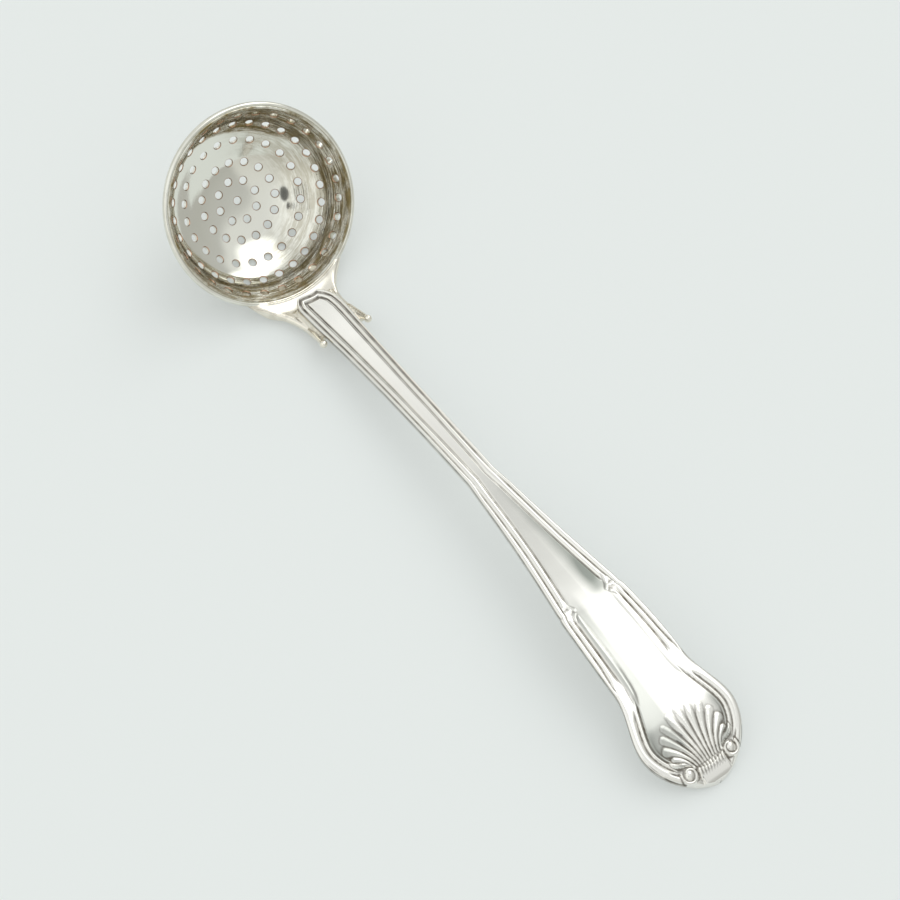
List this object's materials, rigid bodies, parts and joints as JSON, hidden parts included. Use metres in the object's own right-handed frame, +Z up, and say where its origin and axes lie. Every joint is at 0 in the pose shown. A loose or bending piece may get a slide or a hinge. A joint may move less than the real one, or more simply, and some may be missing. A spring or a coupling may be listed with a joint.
{
  "type": "sifter spoon",
  "caption": "Silver sifter ladle: round pierced bowl set at an angle with a half-round rim wire, a winged yoke, and an arched threaded handle ending in a shell.",
  "frame": {"origin": "on the table, under the middle of the spoon's bounding box", "axes": "+X from the bowl towards the handle's tip, +Z up from the table it lies on, +Y to its left"},
  "size_m": [0.1756, 0.0442, 0.0333],
  "materials": {
    "bowl_silver": "raised, planished and polished silver with a little brown tarnish on the inner wall",
    "wire_silver": "drawn half-round wire, polished by use",
    "yoke_silver": "forged and filed silver, tarnished along its seams",
    "handle_silver": "die-struck silver, polished on the high threads, tarnish in the grooves"
  },
  "bodies": {
    "root": {"bowl": "bowl_silver", "rim_wire": "wire_silver", "shoulder_yoke": "yoke_silver", "handle": "handle_silver"}
  },
  "joints": []
}
